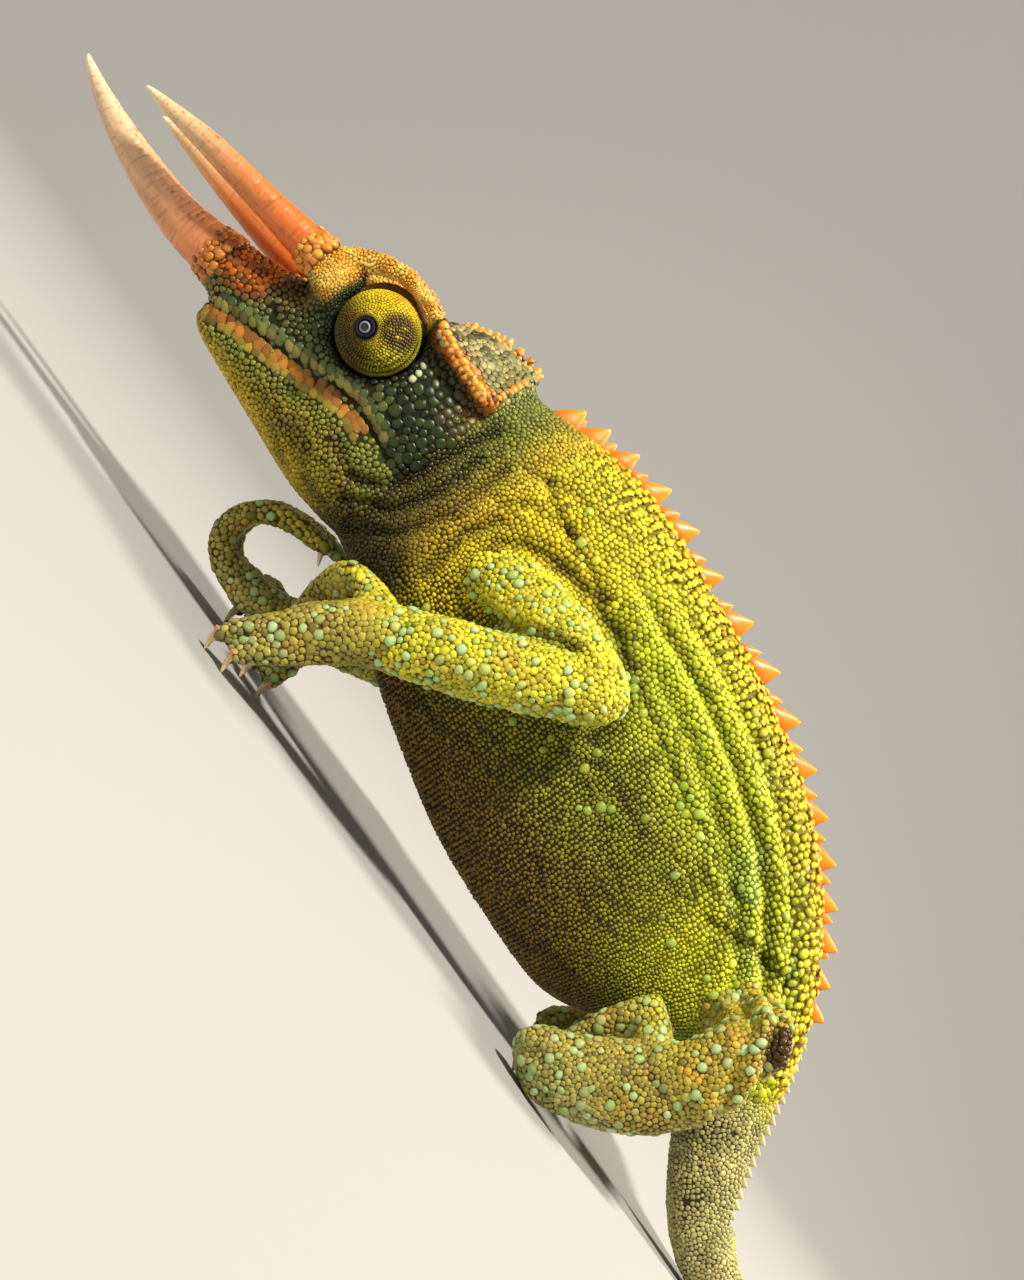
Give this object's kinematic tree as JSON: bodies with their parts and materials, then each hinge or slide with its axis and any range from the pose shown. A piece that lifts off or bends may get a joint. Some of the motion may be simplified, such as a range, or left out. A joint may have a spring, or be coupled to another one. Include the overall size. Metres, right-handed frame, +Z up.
{
  "type": "three-horned chameleon",
  "caption": "Still life-size chameleon with long straight horns, a spiny back crest, gripping feet and a coiled tail, standing on the floor.",
  "frame": {"origin": "centre of the bounding box on the floor", "axes": "+Z up; the head and horns point to -X, the animal's left side to -Y"},
  "size_m": [0.2095, 0.0488, 0.0592],
  "materials": {
    "scaly_skin": "matt beaded scales with a slight sheen",
    "lid_skin": "fine granular skin over the eye",
    "eye_surface": "wet gloss",
    "horn": "satin ringed horn"
  },
  "bodies": {
    "root": {"eye_left": "lid_skin", "eye_right": "lid_skin", "foot_left": "scaly_skin", "foot_right": "scaly_skin", "forearm_left": "scaly_skin", "forearm_right": "scaly_skin", "hand_left": "scaly_skin", "hand_right": "scaly_skin", "head": "scaly_skin", "horn_left": "horn", "horn_nose": "horn", "horn_right": "horn", "lower_jaw": "scaly_skin", "neck": "scaly_skin", "pupil_left": "eye_surface", "pupil_right": "eye_surface", "shank_left": "scaly_skin", "shank_right": "scaly_skin", "tail_1": "scaly_skin", "tail_2": "scaly_skin", "tail_3": "scaly_skin", "tail_4": "scaly_skin", "tail_5": "scaly_skin", "thigh_left": "scaly_skin", "thigh_right": "scaly_skin", "torso": "scaly_skin", "upper_arm_left": "scaly_skin", "upper_arm_right": "scaly_skin"}
  },
  "joints": []
}
